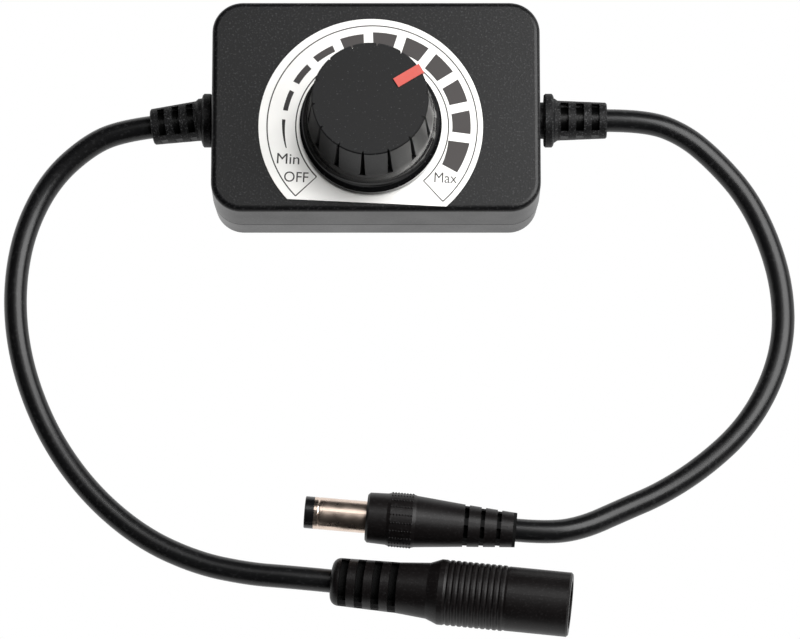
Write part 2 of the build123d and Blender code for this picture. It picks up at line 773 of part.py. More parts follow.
# Smoothing capacitor: upright can with a crimped waist over its rubber foot
with BuildPart() as smoothing_capacitor:
    with BuildSketch(Plane((capacitor_x, capacitor_y, board_top), x_dir=(1, 0, 0), z_dir=(0, -1, 0))):
        Polygon((0, 0), (capacitor_radius, 0), (capacitor_radius, capacitor_foot),
                (capacitor_radius - capacitor_waist, capacitor_foot + capacitor_waist_half),
                (capacitor_radius, capacitor_foot + 2 * capacitor_waist_half),
                (capacitor_radius, capacitor_height - capacitor_waist),
                (capacitor_radius - capacitor_waist, capacitor_height), (0, capacitor_height), align=None)
    revolve(axis=Axis((capacitor_x, capacitor_y, 0), (0, 0, 1)))
save(smoothing_capacitor, "smoothing_capacitor")

# Diodes: one across the output, one against a reversed supply
with BuildPart() as diodes:
    with BuildSketch(Plane((diode_x, diode_y, board_top))):
        with GridLocations(0, diode_pitch, 1, 2):
            Rectangle(diode_length + 2 * diode_foot, diode_width / 2)
    extrude(amount=diode_foot)
    with BuildSketch(Plane((diode_x, diode_y, board_top))):
        with GridLocations(0, diode_pitch, 1, 2):
            Rectangle(diode_length, diode_width)
    extrude(amount=diode_height)
save(diodes, "diodes")

# Chip resistors and small ceramic capacitors, one group
with BuildPart() as chip_resistors:
    with BuildSketch(Plane((knob_x, resistor_y, board_top))):
        with GridLocations(resistor_pitch, resistor_pitch, resistor_columns, 2):
            Rectangle(resistor_length, resistor_width)
    extrude(amount=resistor_height)
save(chip_resistors, "chip_resistors")

# Barrel plug: moulded body round a nickel barrel, level on the floor
plug_axis = axial_plane(Vector(plug_tail_x, plug_tail_y, plug_grip_radius), heading_vector(plug_heading))
plug_line = Axis(plug_axis.origin, plug_axis.x_dir)
barrel_inner = barrel_radius - barrel_wall
root_inner = barrel_root_radius - barrel_wall
barrel_step = plug_body_length + barrel_wall
barrel_start = plug_body_length - barrel_sunk
barrel_end = plug_body_length + barrel_length - tip_ring
plug_tip = plug_body_length + barrel_length
grip_end = plug_grip_start + plug_grip_length
with BuildPart() as plug_body:
    with BuildSketch(plug_axis):
        Polygon((0, 0), (0, plug_tail_radius), (plug_waist_at, plug_waist_radius),
                (plug_grip_start, plug_shoulder_radius),
                (plug_grip_start + plug_grip_slope, plug_grip_radius),
                (grip_end - plug_grip_slope, plug_grip_radius), (grip_end, plug_shoulder_radius),
                (plug_body_length - plug_front_round, plug_front_radius),
                (plug_body_length, plug_front_radius - plug_front_round),
                (plug_body_length, barrel_root_radius), (barrel_start, barrel_root_radius),
                (barrel_start, 0), align=None)
    revolve(axis=plug_line)
    for ring in range(plug_slot_count):
        start = plug_tail_ring + ring * (plug_ring + plug_slot)
        body_here = plug_tail_radius + (plug_waist_radius - plug_tail_radius) * start / plug_waist_at
        window = flex_slot(cross_plane(plug_axis, start), plug_grip_radius, body_here - plug_notch,
                           plug_web, plug_slot_floor, plug_slot_core, plug_slot_spine)
        extrude(window, amount=plug_slot, mode=Mode.SUBTRACT)
save(plug_body, "plug_body")

# Plug barrel: drawn nickel-plated tube, the outer contact, drawn narrower where the body is moulded
# round it, with a fine groove behind its end
bead_at = barrel_end - barrel_bead
with BuildPart() as plug_barrel:
    with BuildSketch(plug_axis):
        Polygon((barrel_start, root_inner), (barrel_start, barrel_root_radius),
                (plug_body_length, barrel_root_radius), (plug_body_length, barrel_radius),
                (bead_at - barrel_bead_width / 2, barrel_radius),
                (bead_at, barrel_radius - barrel_bead_depth),
                (bead_at + barrel_bead_width / 2, barrel_radius), (barrel_end, barrel_radius),
                (barrel_end, barrel_inner), (barrel_step, barrel_inner), (barrel_step, root_inner),
                align=None)
    revolve(axis=plug_line)
save(plug_barrel, "plug_barrel")

# Plug insulator: moulded sleeve in the barrel that ends in the black tip ring, flush with the barrel
contact_outer = barrel_bore + contact_wall
with BuildPart() as plug_insulator:
    with BuildSketch(plug_axis):
        Polygon((barrel_start, contact_outer), (barrel_start, root_inner), (barrel_step, root_inner),
                (barrel_step, barrel_inner), (barrel_end, barrel_inner),
                (barrel_end, barrel_radius), (plug_tip - tip_step, barrel_radius),
                (plug_tip, barrel_radius - tip_step), (plug_tip, barrel_bore + tip_step),
                (plug_tip - contact_set_back, barrel_bore + tip_step),
                (plug_tip - contact_set_back, contact_outer), align=None)
    revolve(axis=plug_line)
save(plug_insulator, "plug_insulator")

# Plug contact: slit spring sleeve that takes the socket's pin
with BuildPart() as plug_contact:
    with BuildSketch(cross_plane(plug_axis, barrel_start)):
        Circle(contact_outer)
        Circle(barrel_bore, mode=Mode.SUBTRACT)
    extrude(amount=plug_tip - contact_set_back - barrel_start)
    with BuildSketch(cross_plane(plug_axis, plug_body_length)):
        Rectangle(contact_slit, 4 * contact_outer)
    extrude(amount=plug_tip - contact_set_back - plug_body_length, mode=Mode.SUBTRACT)
save(plug_contact, "plug_contact")

# Barrel socket: moulded body with a ribbed grip
jack_tail_z = jack_grip_radius * cos(radians(jack_rise)) - jack_grip_at * sin(radians(jack_rise))
jack_way = heading_vector(jack_heading) * cos(radians(jack_rise)) + Vector(0, 0, sin(radians(jack_rise)))
jack_axis = axial_plane(Vector(jack_tail_x, jack_tail_y, jack_tail_z), jack_way)
jack_line = Axis(jack_axis.origin, jack_axis.x_dir)
jack_neck_at = jack_tail_ring + jack_slot_count * jack_slot + (jack_slot_count - 1) * jack_ring
liner_start = jack_length - socket_depth - liner_base
rib_end = jack_rib_start + jack_rib_count * jack_rib_pitch
ridges = []
for rib in range(jack_rib_count):
    valley = jack_rib_start + rib * jack_rib_pitch
    crest = valley + (jack_rib_pitch - jack_rib_crest) / 2
    ridges += [(valley, jack_grip_radius - jack_rib_depth), (crest, jack_grip_radius),
               (crest + jack_rib_crest, jack_grip_radius)]
with BuildPart() as jack_body:
    with BuildSketch(jack_axis):
        with BuildLine():
            Polyline((jack_tail_round, jack_tail_radius), (jack_neck_at, jack_neck_radius),
                     (jack_shoulder_at, jack_shoulder_radius), (jack_grip_at, jack_grip_radius),
                     (jack_rib_start - jack_grip_slope, jack_grip_radius), *ridges,
                     (rib_end, jack_grip_radius - jack_rib_depth),
                     (rib_end + jack_grip_slope, jack_barrel_radius),
                     (jack_length - jack_mouth_round, jack_barrel_radius),
                     (jack_length, jack_barrel_radius - jack_mouth_round), (jack_length, liner_radius),
                     (liner_start, liner_radius), (liner_start, 0), (0, 0),
                     (0, jack_tail_radius - jack_tail_round))
            RadiusArc((0, jack_tail_radius - jack_tail_round), (jack_tail_round, jack_tail_radius),
                      jack_tail_round)
        make_face()
    revolve(axis=jack_line)
    for ring in range(jack_slot_count):
        start = jack_tail_ring + ring * (jack_ring + jack_slot)
        body_here = jack_tail_radius + (jack_neck_radius - jack_tail_radius) * start / jack_neck_at
        window = flex_slot(cross_plane(jack_axis, start), jack_neck_radius, body_here - jack_notch,
                           jack_web, jack_slot_floor, jack_slot_core, 0)
        extrude(window, amount=jack_slot, mode=Mode.SUBTRACT)
save(jack_body, "jack_body")

# Socket liner: hard moulded cup inside the body, with the bore that takes a plug's barrel
liner_mouth = jack_length - liner_recess
socket_floor = liner_start + liner_base
with BuildPart() as jack_liner:
    with BuildSketch(jack_axis):
        Polygon((liner_start, pin_root_radius), (liner_start, liner_radius), (liner_mouth, liner_radius),
                (liner_mouth, socket_radius), (socket_floor, socket_radius), (socket_floor, pin_root_radius),
                align=None)
    revolve(axis=jack_line)
    with BuildSketch(cross_plane(jack_axis, socket_floor)):
        with Locations((0, socket_radius)):
            Rectangle(spring_width, 2 * spring_thickness)
    extrude(amount=spring_reach, mode=Mode.SUBTRACT)
save(jack_liner, "jack_liner")

# Socket pin: turned centre contact with a thinner root in the liner's base and a blunt nose
pin_end = jack_length - pin_set_back
with BuildPart() as jack_pin:
    with BuildSketch(jack_axis):
        Polygon((liner_start, 0), (liner_start, pin_root_radius), (socket_floor, pin_root_radius),
                (socket_floor, pin_radius), (pin_end - pin_nose, pin_radius),
                (pin_end, pin_radius - pin_nose), (pin_end, 0), align=None)
    revolve(axis=jack_line)
save(jack_pin, "jack_pin")

# Socket spring: leaf contact in the side of the bore
with BuildPart() as jack_spring:
    with BuildSketch(cross_plane(jack_axis, socket_floor)):
        with Locations((0, socket_radius + spring_thickness / 2)):
            Rectangle(spring_width, spring_thickness)
    extrude(amount=spring_reach)
save(jack_spring, "jack_spring")


def lead(route):
    """Round lead along straight runs joined by arcs, each as large as its two runs allow."""
    points = [Vector(*point) for point in route]
    runs = [end - start for start, end in zip(points, points[1:])]
    radii = []
    for before, after in zip(runs, runs[1:]):
        half_turn = radians(before.get_angle(after)) / 2
        radii.append(0.45 * min(before.length, after.length) / tan(half_turn))
    with BuildPart() as tube:
        with BuildLine() as path:
            FilletPolyline(*points, radius=radii)
        with BuildSketch(Plane(points[0], z_dir=runs[0])):
            Circle(cord_radius)
        sweep()
    length = path.wire().length
    share = tube.part.volume / (pi * cord_radius**2 * length)
    print("lead: length %.1f, volume share %.4f, radii" % (length, share), [round(r, 1) for r in radii])
    return tube


# Input lead: out of the box on the left, round the front and into the socket
input_exit = relief_tail_plane(-1, input_relief_stand, input_relief_droop, input_relief_sag)
input_start = input_exit.origin + input_exit.x_dir * relief_tail_length(input_relief_slot)
input_route = [
    input_start,
    input_start + input_exit.x_dir * input_cord_lead,
    (-50.4, -3.8, 4.6), (-56.9, -9.3, 2.8), (-61.3, -17.9, 2.0), (-63.0, -27.7, 2.0),
    (-62.5, -37.6, 2.0), (-60.0, -47.3, 2.0), (-55.5, -57.0, 2.0), (-48.7, -66.0, 2.0),
    (-40.1, -73.2, 2.0), (-30.7, -77.6, 2.3), (-21.8, -79.6, 3.0),
    jack_axis.origin - jack_axis.x_dir * jack_cord_entry,
    jack_axis.origin,
]
input_cord = lead(input_route)
save(input_cord, "input_cord")

# Output lead: out of the box on the right, round the front and into the plug
output_exit = relief_tail_plane(1, output_relief_stand, 0, 0)
output_start = output_exit.origin + output_exit.x_dir * relief_tail_length(output_relief_slot)
output_route = [
    output_start,
    output_start + output_exit.x_dir * output_cord_lead,
    (53.8, -2.3, 6.3), (59.4, -6.7, 4.7), (64.8, -12.6, 3.0), (68.5, -20.3, 2.4),
    (70.7, -28.6, 2.0), (70.9, -37.4, 2.0), (68.5, -46.0, 2.0), (63.7, -54.0, 2.0),
    (56.8, -60.4, 2.0), (49.4, -65.3, 2.2), (42.1, -68.6, 2.9), (35.7, -71.7, 4.0),
    plug_axis.origin - plug_axis.x_dir * plug_cord_entry,
    plug_axis.origin,
]
output_cord = lead(output_route)
save(output_cord, "output_cord")
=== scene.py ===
from math import atan2, cos, degrees, pi, radians, sin

import bmesh
import bpy
from mathutils import Matrix, Vector


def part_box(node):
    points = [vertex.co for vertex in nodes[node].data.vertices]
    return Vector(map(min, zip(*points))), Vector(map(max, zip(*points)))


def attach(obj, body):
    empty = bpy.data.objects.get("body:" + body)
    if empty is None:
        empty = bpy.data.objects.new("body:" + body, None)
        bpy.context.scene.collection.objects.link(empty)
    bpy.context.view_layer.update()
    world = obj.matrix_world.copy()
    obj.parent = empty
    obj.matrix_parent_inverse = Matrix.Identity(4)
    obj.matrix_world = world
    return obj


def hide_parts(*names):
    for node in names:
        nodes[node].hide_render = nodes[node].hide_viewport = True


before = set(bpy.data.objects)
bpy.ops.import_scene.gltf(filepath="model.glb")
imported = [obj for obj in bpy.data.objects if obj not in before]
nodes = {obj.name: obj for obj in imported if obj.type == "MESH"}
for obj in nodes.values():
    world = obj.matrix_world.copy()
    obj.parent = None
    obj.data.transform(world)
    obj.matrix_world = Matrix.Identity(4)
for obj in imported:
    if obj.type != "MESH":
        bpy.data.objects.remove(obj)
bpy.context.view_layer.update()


# Camera: above the dimmer and a little in front of it, far enough away that the box looks almost flat
look_at = Vector((0.00415, -0.034, 0.0))
camera_distance = 0.75
elevation = radians(76.1)
camera = bpy.data.objects.new("camera", bpy.data.cameras.new("camera"))
camera.location = look_at + camera_distance * Vector((0, -cos(elevation), sin(elevation)))
camera.rotation_euler = (pi / 2 - elevation, 0, 0)
camera.data.lens = 193.5
camera.data.sensor_width = 36.0
bpy.context.scene.collection.objects.link(camera)
bpy.context.scene.camera = camera
bpy.context.scene.view_settings.view_transform = "Standard"


# Studio: white paper to stand on in a dark room, a large softbox high on the right and a pale panel
# overhead, a little behind. The paper shows white to the camera and in the gloss of what lies on it.
def colour(code):
    """Linear colour of an sRGB hex code."""
    parts = [int(code[i:i + 2], 16) / 255 for i in (1, 3, 5)]
    return [p / 12.92 if p <= 0.04045 else ((p + 0.055) / 1.055) ** 2.4 for p in parts] + [1.0]


def add(tree, kind, inputs, **settings):
    """Adds a node. Each input takes a value or another node's output."""
    made = tree.nodes.new("ShaderNode" + kind)
    for name, value in settings.items():
        setattr(made, name, value)
    for name, value in inputs.items():
        if isinstance(value, bpy.types.NodeSocket):
            tree.links.new(value, made.inputs[name])
        else:
            made.inputs[name].default_value = value
    return made


room_level, backdrop_level = 0.015, 1.0
studio = bpy.data.worlds.new("studio")
studio.use_nodes = True
seen = add(studio.node_tree, "LightPath", {}).outputs["Is Camera Ray"]
brightness = add(studio.node_tree, "Mix", {"Factor": seen, "A": room_level, "B": backdrop_level},
                 data_type="FLOAT")
background = studio.node_tree.nodes["Background"]
background.inputs["Color"].default_value = (1, 1, 1, 1)
studio.node_tree.links.new(brightness.outputs["Result"], background.inputs["Strength"])
bpy.context.scene.world = studio

paper = bpy.data.materials.new("white uncoated paper")
paper.use_nodes = True
tree = paper.node_tree
shader = tree.nodes["Principled BSDF"]
shader.inputs["Base Color"].default_value = colour("#f4f4f4")
shader.inputs["Roughness"].default_value = 0.9
white = add(tree, "Emission", {"Color": (1, 1, 1, 1), "Strength": 1.0})
ray = add(tree, "LightPath", {})
shows_white = add(tree, "Math", {0: ray.outputs["Is Camera Ray"], 1: ray.outputs["Is Glossy Ray"]},
                  operation="MAXIMUM")
blend = add(tree, "MixShader", {0: shows_white.outputs["Value"], 1: shader.outputs["BSDF"],
                                2: white.outputs["Emission"]})
tree.links.new(blend.outputs["Shader"], tree.nodes["Material Output"].inputs["Surface"])
paper_half_width = 1.2
built = bmesh.new()
bmesh.ops.create_grid(built, x_segments=1, y_segments=1, size=paper_half_width)
sheet = bpy.data.meshes.new("paper")
built.to_mesh(sheet)
built.free()
sheet.materials.append(paper)
floor = bpy.data.objects.new("paper", sheet)
bpy.context.scene.collection.objects.link(floor)

lamp_distance = 0.7
for name, way, width, depth, watts in (("softbox", (0.58, 0.16, 0.80), 0.60, 0.65, 7.6),
                                       ("overhead_panel", (0.0, 0.30, 0.95), 0.40, 0.36, 0.50)):
    lamp = bpy.data.lights.new(name, "AREA")
    lamp.shape = "RECTANGLE"
    lamp.size = width
    lamp.size_y = depth
    lamp.energy = watts
    light = bpy.data.objects.new(name, lamp)
    way = Vector(way).normalized()
    light.location = look_at + way * lamp_distance
    light.rotation_euler = way.to_track_quat("Z", "Y").to_euler()
    bpy.context.scene.collection.objects.link(light)


# Plug and socket bodies: black PVC moulded over the contacts and the lead's end. The grips are satin,
# a little smoother than the strain reliefs. Hardly any light gets into the slots of their flexing
# tails, so the skin there is drawn rougher and blacker than on the rings between them.
def new_material(name):
    """Material with its tree, its shader and the object coordinates that patterns follow."""
    made = bpy.data.materials.new(name)
    made.use_nodes = True
    tree = made.node_tree
    return made, tree, tree.nodes["Principled BSDF"], add(tree, "TexCoord", {}).outputs["Object"]


def moulded(name, code, rough, grain, depth, specks=0.0, index=1.5):
    """Moulded or extruded plastic: colour and polish drift in blotches, and a skin of grain is as wide and
    deep as given, in mm. specks is how far the grain's tips are painted pale, as painted sparkle
    (painted highlights), from 0 to 1, and index is matched to how much the real skin shines."""
    made, tree, shader, place = new_material(name)
    blotch_size, paleness, drift = 9.0, 1.35, 0.1
    blotch_low, blotch_high = 0.3, 0.7
    tip_foot, tip_top = 0.56, 0.72
    blotch = add(tree, "TexNoise", {"Vector": place, "Scale": 1000 / blotch_size, "Detail": 4.0})
    blotch = blotch.outputs["Fac"]
    skin = add(tree, "TexNoise", {"Vector": place, "Scale": 1000 / grain, "Detail": 2.0}).outputs["Fac"]
    paler = [min(1.0, c * paleness + 0.001) for c in colour(code)[:3]] + [1.0]
    tint = add(tree, "Mix", {"Factor": blotch, "A": colour(code), "B": paler}, data_type="RGBA")
    tip = add(tree, "MapRange", {"Value": skin, "From Min": tip_foot, "From Max": tip_top,
                                 "To Max": specks})
    # The grain's tips are painted pale: painted sparkle, standing in for highlights on the grain.
    sparkle_painted = add(tree, "Mix", {"Factor": tip.outputs["Result"], "A": tint.outputs["Result"],
                               "B": colour("#8c8c8e")}, data_type="RGBA")
    polish = add(tree, "MapRange", {"Value": blotch, "From Min": blotch_low, "From Max": blotch_high,
                                    "To Min": rough * (1 - drift),
                                    "To Max": min(1.0, rough * (1 + drift))})
    relief = add(tree, "Bump", {"Height": skin, "Distance": depth / 1000, "Strength": 1.0})
    tree.links.new(sparkle_painted.outputs["Result"], shader.inputs["Base Color"])
    tree.links.new(polish.outputs["Result"], shader.inputs["Roughness"])
    tree.links.new(relief.outputs["Normal"], shader.inputs["Normal"])
    shader.inputs["IOR"].default_value = index
    return made


def change_where(made, mask, code, rough):
    """Where the mask is 1, the material takes this colour and roughness instead of its own."""
    tree = made.node_tree
    shader = tree.nodes["Principled BSDF"]
    for name, other, kind in (("Base Color", colour(code), "RGBA"), ("Roughness", rough, "FLOAT")):
        own = shader.inputs[name].links[0].from_socket
        mixed = add(tree, "Mix", {"Factor": mask, "A": own, "B": other}, data_type=kind)
        tree.links.new(mixed.outputs["Result"], shader.inputs[name])


def wear(made, *names):
    """These CAD nodes take the material."""
    for name in names:
        for place in nodes[name].material_slots:
            place.material = made


# Each tail, in mm: its end, heading and climb, where its first slot starts, the width of a slot and of
# a ring, and the number of slots
tails = {"plug": (Vector((24.0, -72.3, 4.6)), radians(175), 0.0, 2.6, 0.75, 2.05, 3),
         "jack": (Vector((-7.5, -81.1, 4.289)), radians(-6.5), radians(4), 1.5, 1.4, 1.45, 4)}
for part, (tail, heading, climb, first, slot, ring, count) in tails.items():
    made = moulded("satin overmoulded PVC " + part, "#0d0a0a", 0.4, 0.3, 0.010,
                   specks=0.05, index=1.36)
    tree = made.node_tree
    place = tree.nodes["Texture Coordinate"].outputs["Object"]
    way = Vector((cos(heading) * cos(climb), sin(heading) * cos(climb), sin(climb)))
    start = tail / 1000 + way * first / 1000
    from_start = add(tree, "VectorMath", {0: place, 1: start}, operation="SUBTRACT").outputs["Vector"]
    along = add(tree, "VectorMath", {0: from_start, 1: way}, operation="DOT_PRODUCT").outputs["Value"]
    step = add(tree, "Math", {0: along, 1: (slot + ring) / 1000}, operation="FLOORED_MODULO")
    in_slot = add(tree, "Math", {0: step.outputs["Value"], 1: slot / 1000}, operation="LESS_THAN")
    on_tail = add(tree, "Math", {0: along, 1: count * (slot + ring) / 1000}, operation="LESS_THAN")
    slotted = add(tree, "Math", {0: in_slot.outputs["Value"], 1: on_tail.outputs["Value"]},
                  operation="MULTIPLY").outputs["Value"]
    change_where(made, slotted, "#050505", 0.9)
    wear(made, part + "_body")

# Grip of the plug: rows of fine bumps along the band, moulded in one with the body, in the same satin
# PVC. The rows that the plug lies on are left out, so that nothing stands below the table.
plug_tail, plug_heading = tails["plug"][:2]
grip_radius, bump_radius, bump_height = 0.0046, 0.0002, 0.00016
row_count, bumps_in_row, bump_pitch, first_bump = 20, 8, 0.0005, 0.01796
bare_spread = radians(20)
flattened = Matrix.Diagonal((1, 1, bump_height / bump_radius, 1))
built = bmesh.new()
for row in range(row_count):
    turn = row * 2 * pi / row_count
    if abs(turn - pi) < bare_spread:
        continue
    for bump in range(bumps_in_row):
        at = Vector((first_bump + bump * bump_pitch, 0, grip_radius))
        seat = Matrix.Rotation(turn, 4, "X") @ Matrix.Translation(at) @ flattened
        bmesh.ops.create_icosphere(built, subdivisions=1, radius=bump_radius, matrix=seat)
built.transform(Matrix.Translation(plug_tail / 1000) @ Matrix.Rotation(plug_heading, 4, "Z"))
bumps_mesh = bpy.data.meshes.new("plug_grip_bumps")
built.to_mesh(bumps_mesh)
built.free()
bumps_mesh.shade_smooth()
bumps_mesh.materials.append(nodes["plug_body"].material_slots[0].material)
grip_bumps = bpy.data.objects.new("plug_grip_bumps", bumps_mesh)
bpy.context.scene.collection.objects.link(grip_bumps)
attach(grip_bumps, "dimmer")

# Leads: round two-core cable, 4 mm across, that comes down from its strain relief, lies on the table in
# an open curve and rises to the connector moulded on its end. The extruded PVC sheath comes smooth out
# of the die, with a long soft highlight and almost no grain.
sheath = moulded("extruded soft PVC sheath", "#0f0f10", 0.31, 0.6, 0.006, specks=0.05, index=1.43)
lead_routes = {
    "input": [(-39.06, -0.9, 6.3), (-44.79, -1.5, 5.69), (-50.4, -3.8, 4.6), (-56.9, -9.3, 2.8),
              (-61.3, -17.9, 2.0), (-63.0, -27.7, 2.0), (-62.5, -37.6, 2.0), (-60.0, -47.3, 2.0),
              (-55.5, -57.0, 2.0), (-48.7, -66.0, 2.0), (-40.1, -73.2, 2.0), (-30.7, -77.6, 2.3),
              (-21.8, -79.6, 3.0), (-14.44, -80.31, 3.8), (-7.5, -81.1, 4.29)],
    "output": [(40.2, 0.0, 7.2), (47.2, 0.0, 7.2), (53.8, -2.3, 6.3), (59.4, -6.7, 4.7),
               (64.8, -12.6, 3.0), (68.5, -20.3, 2.4), (70.7, -28.6, 2.0), (70.9, -37.4, 2.0),
               (68.5, -46.0, 2.0), (63.7, -54.0, 2.0), (56.8, -60.4, 2.0), (49.4, -65.3, 2.2),
               (42.1, -68.6, 2.9), (35.7, -71.7, 4.0), (29.78, -72.81, 4.6), (24.0, -72.3, 4.6)],
}
lead_diameter = 0.004
for side, route in lead_routes.items():
    line = bpy.data.curves.new(side + "_lead", "CURVE")
    line.dimensions = "3D"
    line.bevel_depth = lead_diameter / 2
    line.bevel_resolution = 6
    line.resolution_u = 16
    line.use_fill_caps = True
    spline = line.splines.new("NURBS")
    spline.points.add(len(route) - 1)
    for point, (x, y, z) in zip(spline.points, route):
        point.co = (x / 1000, y / 1000, z / 1000, 1)
    spline.order_u = 3
    spline.use_endpoint_u = True
    line.materials.append(sheath)
    lead = bpy.data.objects.new(side + "_lead", line)
    bpy.context.scene.collection.objects.link(lead)
    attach(lead, "dimmer")
    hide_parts(side + "_cord")


# Box: two shells moulded in black ABS, one's lip set in the other's rebate, and screwed together. The
# mould is spark-eroded, which gives a satin skin; its tiny pale sparkles are painted highlights on the
# grain's tips, and the joint shows as a fine dark line round the box.
seam_height, seam_width = 0.0072, 0.00022
# Spark grain is about 0.1 mm wide; it is drawn 0.35 mm wide, so that it shows. The index is below
# ABS's own 1.54, to match how little the real skin shines.
case = moulded("spark-grained black ABS", "#0e0e0f", 0.33, 0.35, 0.014, specks=0.12, index=1.36)
tree = case.node_tree
place = tree.nodes["Texture Coordinate"].outputs["Object"]
height = add(tree, "SeparateXYZ", {"Vector": place}).outputs["Z"]
in_seam = add(tree, "Math", {0: height, 1: seam_height, 2: seam_width / 2}, operation="COMPARE")
change_where(case, in_seam.outputs["Value"], "#030303", 0.95)
wear(case, "top_cover", "bottom_cover")


# Case screws: four small cross-head screws of nickel-plated steel, driven up through the bottom cover
# into the top cover's bosses and seen only from below. They shine, with faint tool marks.
def metal(name, code, rough, streak, depth):
    """Bare or plated metal: tool marks as far apart and deep as given, in mm, and a faint stain."""
    made, tree, shader, place = new_material(name)
    stain_size, dulling = 3.0, 0.8
    stain_low, stain_high = 0.3, 0.7
    brightest, dullest = 0.75, 1.3
    marks = add(tree, "TexNoise", {"Vector": place, "Scale": 1000 / streak, "Detail": 2.0}).outputs["Fac"]
    stain = add(tree, "TexNoise", {"Vector": place, "Scale": 1000 / stain_size, "Detail": 3.0})
    stain = stain.outputs["Fac"]
    dull = [c * dulling for c in colour(code)[:3]] + [1.0]
    tint = add(tree, "Mix", {"Factor": stain, "A": colour(code), "B": dull}, data_type="RGBA")
    polish = add(tree, "MapRange", {"Value": stain, "From Min": stain_low, "From Max": stain_high,
                                    "To Min": rough * brightest, "To Max": rough * dullest})
    relief = add(tree, "Bump", {"Height": marks, "Distance": depth / 1000, "Strength": 1.0})
    tree.links.new(tint.outputs["Result"], shader.inputs["Base Color"])
    tree.links.new(polish.outputs["Result"], shader.inputs["Roughness"])
    tree.links.new(relief.outputs["Normal"], shader.inputs["Normal"])
    shader.inputs["Metallic"].default_value = 1.0
    return made


wear(metal("nickel-plated screw steel", "#a9a9ab", 0.3, 0.3, 0.004), "case_screws")


# Dial sheet: a disc of silvery polyester film, cut off straight at the front and stuck to the cover.
# The metal layer under its satin face makes it look white overhead and grey from the side.
film = moulded("silvery satin polyester film", "#dfdedb", 0.34, 0.5, 0.002)
film.node_tree.nodes["Principled BSDF"].inputs["Metallic"].default_value = 0.75
wear(film, "dial_label")

# Its scale: a frame line and eleven blocks, screen-printed in dark warm grey, growing from a sliver
# beside the low end to broad blocks at the high end. The ink is matt and a little uneven. Radii, gaps
# and tapers are in mm, and angles in degrees.
ink = moulded("dark grey screen-print ink", "#3d3938", 0.55, 0.3, 0.004)
ink_lift = 0.000015
print_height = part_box("dial_label")[1][2] + ink_lift
dial_turn = Matrix.Translation((-0.0009, -0.0038, print_height)) @ Matrix.Rotation(radians(-2.8), 4, "Z")
print_centre = Vector((0.00025, 0, 0))
half_line = 0.11
frame_start, frame_end = -45.1, 226.3
frame_inner, frame_outer = 13.17, 18.12
block_pitch, block_first, half_gap = 20.0, -14.8, 0.81
printed = bmesh.new()


def band(start, end, inner, outer, taper=(0.0, 0.0)):
    """Printed ring piece between two angles. taper moves its inner and outer edge at the end, in mm."""
    turn, step = end - start, 2
    edge = [printed.verts.new((radius / 1000, 0, 0)) for radius in (inner, outer)]
    line = printed.edges.new(edge)
    bmesh.ops.spin(printed, geom=edge + [line], cent=(0, 0, 0), axis=(0, 0, 1), angle=radians(turn),
                   steps=max(2, round(abs(turn) / step)), use_merge=False)
    verts = set(edge)
    reached = list(verts)
    while reached:
        for joined in reached.pop().link_edges:
            for vert in joined.verts:
                if vert not in verts:
                    verts.add(vert)
                    reached.append(vert)
    middle = (inner + outer) / 2000
    for vert in verts:
        share = atan2(vert.co.y, vert.co.x) / radians(turn)
        move = taper[vert.co.xy.length > middle] * share / 1000
        vert.co.xy *= 1 + move / vert.co.xy.length
    bmesh.ops.rotate(printed, verts=list(verts), cent=(0, 0, 0),
                     matrix=Matrix.Rotation(radians(start), 3, "Z"))
    return list(verts)


def trim(verts, angle, side, gap):
    """Cuts a piece off along a line beside a radius, so that the gap between two blocks has even sides."""
    along = Vector((cos(radians(angle)), sin(radians(angle)), 0))
    across = Vector((-along.y, along.x, 0)) * side
    faces = {face for vert in verts if vert.is_valid for face in vert.link_faces}
    edges = {edge for face in faces for edge in face.edges}
    corners = {vert for face in faces for vert in face.verts}
    cut = bmesh.ops.bisect_plane(printed, geom=list(corners) + list(edges) + list(faces), dist=1e-8,
                                 plane_co=-across * gap / 1000, plane_no=across, clear_outer=True)
    return [piece for piece in cut["geom"] if isinstance(piece, bmesh.types.BMVert)]


for radius in (frame_inner, frame_outer):
    band(frame_start, frame_end, radius - half_line, radius + half_line)
spread = degrees(half_line / frame_outer)
for angle in (frame_start, frame_end):
    band(angle - spread, angle + spread, frame_inner, frame_outer)
block_inner = (13.83, 13.82, 13.85, 13.82, 14.08, 14.3, 14.5, 14.88, 14.72, 14.8, 14.95)
block_outer = (16.8, 17.0, 17.03, 17.07, 17.1, 16.95, 16.7, 16.1, 15.85, 15.65, 15.62)
last = len(block_inner) - 1
first_longer, first_taper = 2.0, (-0.57, 0.3)
last_longer, last_taper = 2.4, (0.25, -0.25)
for block, (inner, outer) in enumerate(zip(block_inner, block_outer)):
    middle = block_first + block_pitch * block
    low, high = middle - block_pitch / 2, middle + block_pitch / 2
    if block == 0:
        verts = band(low - first_longer, high, inner, outer, first_taper)
        trim(verts, high, 1, half_gap)
    elif block == last:
        verts = band(low, high + last_longer, inner, outer, last_taper)
        trim(verts, low, -1, half_gap)
    else:
        verts = band(low, high, inner, outer)
        trim(trim(verts, high, 1, half_gap), low, -1, half_gap)
bmesh.ops.translate(printed, verts=printed.verts, vec=print_centre)
bmesh.ops.recalc_face_normals(printed, faces=printed.faces)
bmesh.ops.reverse_faces(printed, faces=[face for face in printed.faces if face.normal.z < 0])
printed.transform(dial_turn)
print_mesh = bpy.data.meshes.new("dial_print")
printed.to_mesh(print_mesh)
printed.free()
print_mesh.materials.append(ink)
dial_print = bpy.data.objects.new("dial_print", print_mesh)
bpy.context.scene.collection.objects.link(dial_print)
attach(dial_print, "dimmer")

